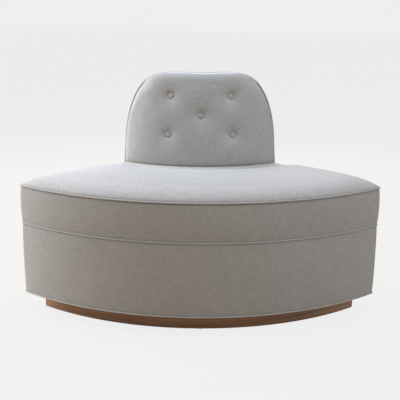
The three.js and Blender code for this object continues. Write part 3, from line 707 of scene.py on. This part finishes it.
seat = {
    "columns": 144,
    "rows": 76,
    "crowdAcross": 0.55,  # how much the columns and rows crowd towards the edges
    "crowdDeep": 0.45,
    # level and inset of each ring of the walls, from the bottom up
    "walls": [(0.3165, 0.0052), (0.345, 0.0046), (0.385, 0.0046), (0.424, 0.0050), (0.4285, 0.0036)],
    "edgeLevel": 0.4350,
    "edgeInset": 0.0023,
    "wallTop": 0.43,  # below it the cloth's map runs down the walls
    "crown": 0.0395,
    "footRise": 0.0196,
    "levelEnd": 0.524,  # radius where the level stretch in front of the back ends
    "crownRun": 0.088,
    "frontRoll": 0.150,
    "frontPower": 2.2,
    "frontEase": 0.66,
    "sideRoll": 0.125,
    "sideEase": 3.1,
    "sideRollAtBack": 0.060,
    "rearRoll": 0.016,
    "slack": 0.0048,  # taken off the crown before the cloth is swelled
    "mostSwell": 0.0072,
    "pressure": 4,
    "stiffness": 8,
    # the cloth is held at the first distance and free from the second
    "edgeHold": (0.002, 0.040),
    "frontHold": (0.010, 0.130),
    "backHold": (0.505, 0.600),  # radii, from under the back to in front of it
    # puckers start at the edge and fade out again, and waves start further in
    "pucker": 0.0007,
    "puckerSize": 0.028,
    "puckerStart": (0.0, 0.006),
    "puckerEnd": (0.01, 0.05),
    "waviness": 0.0012,
    "waveSize": 0.16,
    "waveStart": (0.03, 0.12),
}


def seatLift(x, y):
    radius, _, toSide = fromCentre(x, y)
    edge = seat["edgeInset"]
    away = smooth(seat["levelEnd"], seat["levelEnd"] + seat["crownRun"], radius)
    rise = mix(seat["footRise"], seat["crown"], away)
    toFront = 1 - np.clip((plan["frontRadius"] - radius - edge) / seat["frontRoll"], 0, 1)
    lift = rise * (1 - toFront ** seat["frontPower"]) ** seat["frontEase"]
    lift = lift * roll(toSide - edge, mix(seat["sideRollAtBack"], seat["sideRoll"], away), seat["sideEase"])
    return lift * roll(radius - plan["rearRadius"] - edge, seat["rearRoll"])


def wedgePlace(across, deep, inset):
    # across from -1 to 1 between the sides, deep from 0 at the rear to 1 at the front
    front, rear = plan["frontRadius"] - inset, plan["rearRadius"] + inset
    corner = np.maximum(plan["cornerRadius"] - inset, 0.002)
    radius = mix(rear, front, deep)
    x, y = polar(radius, across * sideAngle(radius, inset))
    for atFront, outer in ((True, front - corner), (False, rear + corner)):
        turn = sideAngle(outer, inset + corner)
        centreX, centrePlaceY = polar(outer, turn)
        dx, dy = np.abs(x) - centreX, y - centrePlaceY
        _, _, toSide = fromCentre(x, y)
        toEnd = front - radius if atFront else radius - rear
        reach = np.maximum(np.hypot(dx, dy), 1e-9)
        cut = (toSide - inset < corner) & (toEnd < corner) & (reach > corner)
        x = np.where(cut, np.sign(x) * (centreX + dx * corner / reach), x)
        y = np.where(cut, centrePlaceY + dy * corner / reach, y)
    return x, y


def blockFromGrid(name, columns, rows, layers):
    # a grid raised by as many layers as its walls have: z counts the layers
    deselectAll()
    bpy.ops.mesh.primitive_grid_add(x_subdivisions=columns, y_subdivisions=rows, size=2)
    piece = newest(name)
    toEdit()
    for _ in range(layers):
        bpy.ops.mesh.extrude_region_move(TRANSFORM_OT_translate={"value": (0, 0, 1)})
    turnOutward()
    toObject()
    return piece


def crowd(share, amount):
    # rows lie closer together near both ends
    return mix(share, np.sin(share * math.pi / 2), amount)


simulation = {
    "quality": 7,
    "mass": 0.25,
    "bending": 0.6,
    "damping": 4,
    "frames": 20,
}


def swell(piece, held, most, pressure, stiffness):
    # cloth over a stuffed form, held where held is 1, and moved by at most the given distance
    start = readPlaces(piece)
    group = piece.vertex_groups.new(name="held")
    for weight in np.unique(held.round(2)):
        members = np.nonzero(held.round(2) == weight)[0].tolist()
        group.add(members, float(weight), "REPLACE")
    activate(piece)
    modifier = piece.modifiers.new("Cloth", "CLOTH")
    settings = modifier.settings
    settings.quality = simulation["quality"]
    settings.mass = simulation["mass"]
    settings.tension_stiffness = stiffness
    settings.compression_stiffness = stiffness
    settings.shear_stiffness = stiffness / 2
    settings.bending_stiffness = simulation["bending"]
    settings.air_damping = simulation["damping"]
    settings.use_pressure = True
    settings.uniform_pressure_force = pressure
    settings.vertex_group_mass = "held"
    settings.effector_weights.gravity = 0
    modifier.collision_settings.use_collision = False
    modifier.collision_settings.use_self_collision = False
    modifier.point_cache.frame_start = 1
    modifier.point_cache.frame_end = simulation["frames"]
    scene = bpy.context.scene
    for step in range(simulation["frames"]):
        scene.frame_set(step + 1)
    bpy.ops.object.modifier_apply(modifier=modifier.name)
    scene.frame_set(1)
    piece.vertex_groups.clear()
    move = readPlaces(piece) - start
    far = np.linalg.norm(move, axis=1)
    capped = most * np.tanh(far / most)
    move *= (capped / np.maximum(far, 1e-9))[:, None]
    print(" ", piece.name, "swelled by", round(float(far.max()) * 1000, 1), "mm before the cap")
    writePlaces(piece, start + move)


def makeSeat():
    levels, insets = zip(*seat["walls"])
    piece = blockFromGrid("seatCushion", seat["columns"], seat["rows"], len(levels))
    share = readPlaces(piece)
    layer = share[:, 2].round().astype(int)
    across = crowd(share[:, 0], seat["crowdAcross"])
    deep = crowd(share[:, 1], seat["crowdDeep"]) * -0.5 + 0.5
    x, y = wedgePlace(across, deep, np.array([*insets, seat["edgeInset"]])[layer])
    level = np.array([*levels, seat["edgeLevel"]])[layer]
    top = layer == len(levels)
    places = np.stack([x, y, level + np.where(top, seatLift(x, y), 0)], axis=1)

    radius, _, _ = fromCentre(x, y)
    edge = toEdges(x, y).min(axis=0)
    clear = smooth(*seat["backHold"], radius)
    free = smooth(*seat["edgeHold"], edge) * clear
    free = np.where(top, free * smooth(*seat["frontHold"], plan["frontRadius"] - radius), 0)
    places[:, 2] -= seat["slack"] * free
    writePlaces(piece, places)
    closeUp(piece)
    swell(piece, 1 - free, seat["mostSwell"], seat["pressure"], seat["stiffness"])
    places = readPlaces(piece)
    flat = places * (1, 1, 0)
    puckers = ripple(flat, seat["puckerSize"], 11) * smooth(*seat["puckerStart"], edge)
    puckers = puckers * (1 - smooth(*seat["puckerEnd"], edge))
    waves = ripple(flat, seat["waveSize"], 12) * smooth(*seat["waveStart"], edge)
    unevenness = seat["pucker"] * puckers + seat["waviness"] * waves * clear
    places[:, 2] += np.where(top, unevenness, 0)
    writePlaces(piece, places)
    closeUp(piece)
    x, y, z = readPlaces(piece).T
    layWeave(piece, x, y + np.where(z < seat["wallTop"], z, 0))
    applyModifier(piece, "SUBSURF", levels=1, render_levels=1)
    settleCloth(piece, 60, "seat_top_panel", "seat_foam")


makeSeat()
print("seat made")


back = {
    "faceRadius": 0.484,
    "depth": 0.072,
    "half": 0.2905,
    "foot": 0.4520,
    "footLevel": 0.4571,  # height where the face has the face radius
    "top": 0.7761,
    "shoulderWidth": 0.1450,
    "shoulderDrop": 0.224,
    "shoulderPower": 2.06,
    "rakeSlope": math.tan(math.radians(6)),
    "crown": 0.026,
    "footCrown": 0.007,
    "slack": 0.80,  # share of the crown before the cloth is swelled
    "edgeRoll": 0.078,
    "footRoll": 0.110,
    "lip": -0.0002,
    "topLip": 0.0030,
    "padEdge": 0.0041,
    "padDepths": [0.030, 0.014, 0.006, 0.0010],  # of the rings of its walls
    "ringInset": 0.0016,  # of the last of these rings, along the top
    "ringForward": 0.0022,
    "rimReach": 0.0008,
    "weltRadius": 0.0022,
    "bandTuck": 0.0007,
    "bandBulge": 0.0036,
    "bandSteps": 14,
    "bandLap": 0.0003,  # the band's edges reach this far under its welts
    "bandMapAway": 5,
    "middleSwell": 0.0010,  # at most, in the middle of the top
    "topPuff": 0.0018,  # along the top the cover stands as high as its welt
    "topRoll": 0.052,
    "topRange": (0.730, 0.774),  # heights between which the edge becomes a top edge
    "sag": 0.0015,  # dip of the top edge in the middle
    "sagHalf": 0.17,
    "sagFrom": 0.66,  # height where the dip starts
    "columns": 120,
    "rows": 96,
    "crowdAcross": 0.35,
    "crowdUp": 0.45,
    "mostSwell": 0.010,
    "pressure": 4,
    "stiffness": 6,
    "rimHold": (0.003, 0.035),
    "topHold": (0.004, 0.065),
    "fold": 0.0006,
    "foldSize": 0.030,
    "waviness": 0.0012,
    "waveSize": 0.075,
    "waveStart": (0.002, 0.05),  # distances from the rim
    "weltRise": 0.0003,  # from the foot to the welts' ends
}
outside = {
    "columns": 60,
    "rows": 36,
    "depth": 0.071,
    "swell": 0.0012,
    "waviness": 0.0005,
    "waveSize": 0.09,
    "waveStart": (0.0, 0.05),
    "mapAway": 3,  # metres from the front cover's cloth on the map
}
tufts = {
    "depth": 0.015,
    "spread": 0.030,
    "pit": 0.0045,  # close round the button
    "pitSpread": 0.0145,
    # distances from a button from which the cloth is free, slack and wavy
    "hold": (0.012, 0.030),
    "slackStart": (0.0, 0.05),
    "waveStart": (0.01, 0.05),
    "places": {
        "back_button_top_left": (-0.109, 0.7003),
        "back_button_top_right": (0.109, 0.7003),
        "back_button_middle": (0.0, 0.6336),
        "back_button_bottom_left": (-0.115, 0.5660),
        "back_button_bottom_right": (0.115, 0.5660),
    },
}
shoulderLevel = back["top"] - back["shoulderDrop"]
flatTop = back["half"] - back["shoulderWidth"]


def middleShare(along):
    # 1 in the middle of the top edge, 0 from the ends of its dip
    return 1 - smooth(0.0, back["sagHalf"], np.abs(along))


def bend(along, height, depth):
    dip = smooth(back["sagFrom"], back["top"], height) * middleShare(along)
    height = height - back["sag"] * dip
    radius = back["faceRadius"] - depth - (height - back["footLevel"]) * back["rakeSlope"]
    x, y = polar(radius, along / back["faceRadius"])
    return np.stack([x, y, height + 0 * x], axis=-1)


def archRound(share):
    power = back["shoulderPower"]
    return (1 - np.clip(share, 0, 1) ** power) ** (1 / power)


def archHalf(height, inset):
    share = (height - shoulderLevel) / (back["shoulderDrop"] - inset)
    return flatTop + (back["shoulderWidth"] - inset) * archRound(share)


def archTop(along, inset):
    share = (np.abs(along) - flatTop) / (back["shoulderWidth"] - inset)
    return shoulderLevel + (back["shoulderDrop"] - inset) * archRound(share)


def toArch(along, height, inset):
    # distances from the arch: to its side and to its top
    return archHalf(height, inset) - np.abs(along), archTop(along, inset) - height


def toButton(along, height):
    centres = tufts["places"].values()
    return np.min([np.hypot(along - across, height - up) for across, up in centres], axis=0)


def alongTop(height):
    # 1 along the top of the back, 0 from the shoulders down
    return smooth(*back["topRange"], height)


def padFace(along, height, fullness=1.0):
    # depth of the front cover, crowned forward and drawn in at the buttons
    edge = mix(back["padEdge"], -back["topPuff"], alongTop(height)) - back["rimReach"]
    toSide, toTop = toArch(along, height, edge)
    filled = mix(back["footCrown"] / back["crown"], 1, roll(height - back["footLevel"], back["footRoll"]))
    crown = fullness * back["crown"] * filled
    crown = crown * roll(toSide, back["edgeRoll"]) * roll(toTop, back["topRoll"], 2.0)
    away = toButton(along, height)
    pull = tufts["depth"] * np.exp(-((away / tufts["spread"]) ** 2))
    pull = pull + tufts["pit"] * np.exp(-((away / tufts["pitSpread"]) ** 4))
    lip = mix(back["lip"], back["topLip"], alongTop(height))
    return -lip - np.maximum(crown - pull, 0)


def archPlace(across, upward, inset):
    # across from -1 to 1, upward from 0 at the foot to 1 at the top
    knee = 2 ** (-1 / back["shoulderPower"])
    kneeAlong = flatTop + (back["shoulderWidth"] - inset) * knee
    kneeHeight = shoulderLevel + (back["shoulderDrop"] - inset) * knee
    along = across * archHalf(mix(back["foot"], kneeHeight, upward), inset)
    height = mix(back["foot"], archTop(across * kneeAlong, inset), upward)
    return along, height


def archPath(inset, foot=back["foot"], sideSteps=16, roundSteps=40, topSteps=18):
    power = back["shoulderPower"]
    right = [(flatTop * step / topSteps, back["top"] - inset) for step in range(topSteps)]
    for step in range(roundSteps + 1):
        turn = math.pi / 2 * step / roundSteps
        across, upward = math.sin(turn) ** (2 / power), max(math.cos(turn), 0) ** (2 / power)
        right.append((
            flatTop + (back["shoulderWidth"] - inset) * across,
            shoulderLevel + (back["shoulderDrop"] - inset) * upward,
        ))
    for step in range(1, sideSteps + 1):
        right.append((back["half"] - inset, mix(shoulderLevel, foot, step / sideSteps)))
    left = [(-along, height) for along, height in right[:0:-1]]
    return np.array(left + right)


def makeBackCushion():
    depths, edge = back["padDepths"], back["padEdge"]
    piece = blockFromGrid("backCushion", back["columns"], back["rows"], len(depths))
    share = readPlaces(piece)
    layer = share[:, 2].round().astype(int)
    face = layer == len(depths)
    across = crowd(share[:, 0], back["crowdAcross"])
    upward = crowd(share[:, 1], back["crowdUp"]) * 0.5 + 0.5
    along, height = archPlace(across, upward, edge)
    overTop = alongTop(height) * upward**8
    last = len(depths) - 1
    puffed = np.array([edge] * last + [back["ringInset"], -back["topPuff"]])[layer]
    along, height = archPlace(across, upward, mix(edge, puffed, overTop))
    depth = np.array(depths + [0])[layer]
    depth = depth - np.where(layer == last, back["ringForward"] * overTop, 0)
    full = padFace(along, height)
    places = bend(along, height, np.where(face, full, depth))

    toSide, toTop = toArch(along, height, edge)
    toRim = np.minimum(np.minimum(toSide, toTop), height - back["foot"])
    away = toButton(along, height)
    free = np.where(face, smooth(*back["rimHold"], toRim) * smooth(*back["topHold"], toTop), 0)
    free = free * smooth(*tufts["hold"], away)
    lower = padFace(along, height, back["slack"])
    slack = np.where(face, mix(full, lower, smooth(*tufts["slackStart"], away)), depth)
    writePlaces(piece, bend(along, height, slack))
    swell(piece, 1 - free, back["mostSwell"], back["pressure"], back["stiffness"])
    places = readPlaces(piece)
    folds = ripple(np.stack([along, height * 0.45, 0 * along], axis=1), back["foldSize"], 21)
    waves = ripple(np.stack([along, height, 0 * along], axis=1), back["waveSize"], 22)
    push = (back["fold"] * folds + back["waviness"] * waves) * smooth(*back["waveStart"], toRim)
    push = np.where(face, push * smooth(*tufts["waveStart"], away), 0)
    turn = along / back["faceRadius"]
    places[:, 0] += push * np.sin(turn)
    places[:, 1] -= push * np.cos(turn)
    writePlaces(piece, places)
    layWeave(piece, along, height + np.where(face, 0, depth))
    closeUp(piece)
    applyModifier(piece, "SUBSURF", levels=1, render_levels=1)
    settleCloth(piece, 60, "back_front_cover", "back_pad")


def makeOutsideCover():
    piece = blockFromGrid("backOutsideCover", outside["columns"], outside["rows"], 2)
    share = readPlaces(piece)
    layer = share[:, 2].round().astype(int)
    along, height = archPlace(share[:, 0], share[:, 1] * 0.5 + 0.5, back["padEdge"])
    toRim = np.minimum(*toArch(along, height, back["padEdge"]))
    loose = smooth(*outside["waveStart"], toRim)
    waves = ripple(np.stack([along, height, 0 * along], axis=1), outside["waveSize"], 31)
    swelling = loose * outside["swell"] + waves * outside["waviness"] * loose
    depth = outside["depth"] + cover["fabric"] * (1 - layer / 2)
    writePlaces(piece, bend(along, height, depth + np.where(layer == 0, swelling, 0)))
    layWeave(piece, along + outside["mapAway"], height)
    closeUp(piece)
    settleCloth(piece, 60, "back_outside_cover")


def makeBackBand():
    # a grid rolled into a flat sleeve that follows the arch
    shares = np.linspace(0, 1, back["bandSteps"] + 1)
    front = back["weltRadius"] - back["bandLap"]
    swelling = back["bandTuck"] - (back["bandTuck"] + back["bandBulge"]) * np.sin(math.pi * shares)
    outer = [(inset, 0, level) for inset, level in zip(swelling, mix(front, back["depth"] - front, shares))]
    profile = outer + [(inset, cover["fabric"], level) for inset, _, level in outer[::-3]]
    path = archPath(0)
    steps = len(path) - 1
    deselectAll()
    bpy.ops.mesh.primitive_grid_add(x_subdivisions=steps, y_subdivisions=len(profile), size=2)
    piece = newest("backBand")
    share = (readPlaces(piece) + 1) / 2
    column = (share[:, 0] * steps).round().astype(int)
    row = (share[:, 1] * len(profile)).round().astype(int) % len(profile)
    along, height, depth = np.empty((3, len(share)))
    middle = middleShare(path[:, 0])
    for index, (inset, within, level) in enumerate(profile):
        mine = row == index
        flatter = archPath(max(inset, -back["middleSwell"]) + within)
        line = mix(archPath(inset + within), flatter, middle[:, None])
        along[mine], height[mine] = line[column[mine]].T
        depth[mine] = level
    run = np.concatenate([[0], np.cumsum(np.linalg.norm(np.diff(path, axis=0), axis=1))])
    within = np.array([within for _, within, _ in profile])[row]
    writePlaces(piece, bend(along, height, depth))
    layWeave(piece, run[column] + back["bandMapAway"], depth + np.where(within > 0, 0.1, 0))
    closeUp(piece)
    capEnds(piece)
    settleCloth(piece, 50, "back_band")


def capEnds(piece):
    activate(piece)
    toEdit()
    bpy.ops.mesh.select_all(action="DESELECT")
    bpy.ops.mesh.select_non_manifold()
    bpy.ops.mesh.edge_face_add()
    turnOutward()
    toObject()


def makeBackWelt(name, node, depth):
    data = bpy.data.curves.new(name, "CURVE")
    data.dimensions = "3D"
    data.bevel_depth = back["weltRadius"]
    data.bevel_resolution = 4
    data.use_fill_caps = True
    path = archPath(0, back["foot"] + back["weltRise"])
    line = data.splines.new("POLY")
    line.points.add(len(path) - 1)
    for point, place in zip(line.points, bend(path[:, 0], path[:, 1], depth)):
        point.co = (*place, 1)
    curve = bpy.data.objects.new(name, data)
    bpy.context.scene.collection.objects.link(curve)
    activate(curve)
    bpy.ops.object.convert(target="MESH")
    welt = bpy.context.object
    closeUp(welt)
    x, y, z = readPlaces(welt).T
    layWeave(welt, z + x, y + x * 0.5)  # slanting, as cloth cut on the bias
    settleCloth(welt, 60, node)


button = {
    "sides": 40,
    "radius": 0.0098,
    "height": 0.0056,
    "rim": 0.0024,
    "lift": -0.0008,
    "domeSteps": [(0.0022, 0.0008), (0.0030, 0.0006), (0.0030, 0.0003)],  # inset and rise of each
    "gather": 0.018,
    "gathers": 10,
}


def makeButtonShape():
    deselectAll()
    bpy.ops.mesh.primitive_cylinder_add(
        vertices=button["sides"], radius=button["radius"], depth=button["height"], end_fill_type="NGON"
    )
    piece = newest("back_button")
    toEdit()
    bpy.ops.mesh.select_mode(type="FACE")
    for shrink, lift in button["domeSteps"]:
        toObject()
        for face in piece.data.polygons:
            face.select = face.normal.z > 0.9 and len(face.vertices) == button["sides"]
        bpy.ops.object.mode_set(mode="EDIT")
        bpy.ops.mesh.inset(thickness=shrink)
        bpy.ops.transform.translate(value=(0, 0, lift))
    toObject()

    # the rim, above and below, is rounded
    places = readPlaces(piece)
    outer = np.hypot(places[:, 0], places[:, 1]) > button["radius"] - 1e-5
    for edge in piece.data.edges:
        ends = list(edge.vertices)
        level = abs(places[ends[0], 2] - places[ends[1], 2]) < 1e-6
        edge.select = bool(outer[ends].all() and level)
    for face in piece.data.polygons:
        face.select = False
    bpy.ops.object.mode_set(mode="EDIT")
    bpy.ops.mesh.select_mode(type="EDGE")
    bpy.ops.mesh.bevel(offset=button["rim"], segments=4)
    toObject()
    closeUp(piece)

    # the cloth is gathered towards the rim
    places = readPlaces(piece)
    spoke = np.arctan2(places[:, 1], places[:, 0])
    reach = np.hypot(places[:, 0], places[:, 1]) / button["radius"]
    waves = 0.5 + 0.5 * np.cos(spoke * button["gathers"] + 0.6)
    gather = 1 - button["gather"] * waves * smooth(0.75, 1.0, reach)
    places[:, :2] *= gather[:, None]
    places[:, 2] += button["height"] / 2
    writePlaces(piece, places)
    return piece


def makeButtons():
    first = makeButtonShape()
    for name, (along, height) in tufts["places"].items():
        activate(first)
        bpy.ops.object.duplicate(linked=False)
        copy = bpy.context.object
        copy.name = name.replace("back_button", "backButton")
        place = np.array(along), np.array(height)
        spot = Vector(bend(*place, padFace(*place)))
        turn = along / back["faceRadius"]
        outward = Vector((math.sin(turn), -math.cos(turn), back["rakeSlope"])).normalized()
        stand = outward.to_track_quat("Z", "Y").to_matrix().to_4x4()
        places = readPlaces(copy)
        layWeave(copy, places[:, 0] + along, places[:, 1] + height)
        copy.data.transform(Matrix.Translation(spot + outward * button["lift"]) @ stand)
        applyModifier(copy, "SUBSURF", levels=1, render_levels=1)
        settleCloth(copy, 60, name)
    bpy.data.objects.remove(first)


makeBackCushion()
makeOutsideCover()
makeBackBand()
makeBackWelt("backFrontWelt", "welt_back_front", 0)
makeBackWelt("backRearWelt", "welt_back_rear", back["depth"])
makeButtons()
print("back made")


plinth = {
    "front": 0.0565,
    "side": 0.033,
    "rear": 0.040,
    "board": 0.020,
    "low": 0.0016,  # a little lower than the CAD, so that the glides stay out of sight
    "high": 0.0617,
    "edge": 0.0010,
    "steps": 130,
    "over": 0.03,  # radians past the sides, cut off afterwards
}


def roundEdges(piece, angle):
    limits = {"limit_method": "ANGLE", "angle_limit": math.radians(angle)}
    applyModifier(piece, "BEVEL", width=plinth["edge"], segments=3, **limits)


def cutBySide(sign):
    half = plan["wedgeHalf"]
    away = (-sign * math.cos(half), -math.sin(half), 0)
    offset = plan["sideOffset"] + plinth["side"]
    point = (away[0] * offset, centreY + away[1] * offset, 0)
    bpy.ops.mesh.select_all(action="SELECT")
    bpy.ops.mesh.bisect(plane_co=point, plane_no=away, use_fill=True, clear_inner=True, clear_outer=False)


def makeCurvedBoard(name, node, outer):
    low, high, inside = plinth["low"], plinth["high"], outer - plinth["board"]
    profile = [(outer, low), (outer, high), (inside, high), (inside, low)]
    turn = sideAngle(outer, plinth["side"]) + plinth["over"]
    deselectAll()
    bpy.ops.mesh.primitive_circle_add(vertices=len(profile), fill_type="NGON")
    piece = newest(name)
    writePlaces(piece, [(*polar(radius, -turn), height) for radius, height in profile])
    toEdit()
    bpy.ops.mesh.spin(steps=plinth["steps"], angle=2 * turn, center=(0, centreY, 0), axis=(0, 0, -1))
    for sign in (1, -1):
        cutBySide(sign)
    toObject()
    closeUp(piece)
    roundEdges(piece, 50)
    places = readPlaces(piece)
    radius, turn, _ = fromCentre(places[:, 0], places[:, 1])
    layWeave(piece, outer * turn, places[:, 2] + (outer - radius))
    settle(piece, 30, walnutFinish, "walnut", node)


def makeSideBoard(side, sign):
    # a copy of the CAD's board, with rounded edges
    node = "plinth_" + side
    activate(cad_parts[node])
    bpy.ops.object.duplicate(linked=False)
    piece = bpy.context.object
    for key in list(piece.keys()):
        if key.startswith("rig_"):
            del piece[key]
    piece.parent = None
    piece.name = f"plinth{side.title()}Board"
    closeUp(piece)
    activate(piece)
    toEdit()
    bpy.ops.mesh.dissolve_limited(angle_limit=math.radians(1))
    toObject()
    roundEdges(piece, 40)
    places = readPlaces(piece)
    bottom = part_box(node)[0].z
    places[:, 2] -= np.where(places[:, 2] < bottom + 2 * plinth["edge"], bottom - plinth["low"], 0)
    writePlaces(piece, places)
    x, y, z = places.T
    _, toSide, _ = toEdges(x, y)
    layWeave(piece, downSide(x, y) + plan["mapStep"] + sign, z + toSide)
    settle(piece, 30, walnutFinish, "walnut", node)


makeCurvedBoard("plinthFrontBoard", "plinth_front", plan["frontRadius"] - plinth["front"])
makeCurvedBoard("plinthRearBoard", "plinth_rear", plan["rearRadius"] + plinth["rear"] + plinth["board"])
makeSideBoard("left", -1)
makeSideBoard("right", 1)
print("plinth made")


stillShown = {
    # the frame's pieces that keep their CAD shape, by the start of their names
    "plywood": ("base_ring", "base_skin", "seat_ring", "stud_", "plinth_block", "back_post", "back_panel",
                "back_rim", "back_rail", "back_outside_panel"),
    "webbing": ("strap_",),
    "hessian": ("seat_hessian",),
    "lining": ("dust_cover",),
    "nylon": ("glide_",),
}
for finishName, starts in stillShown.items():
    for nodeName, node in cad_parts.items():
        if nodeName.startswith(starts):
            node.data.materials.clear()
            node.data.materials.append(innerFinishes[finishName])
print("frame pieces finished")
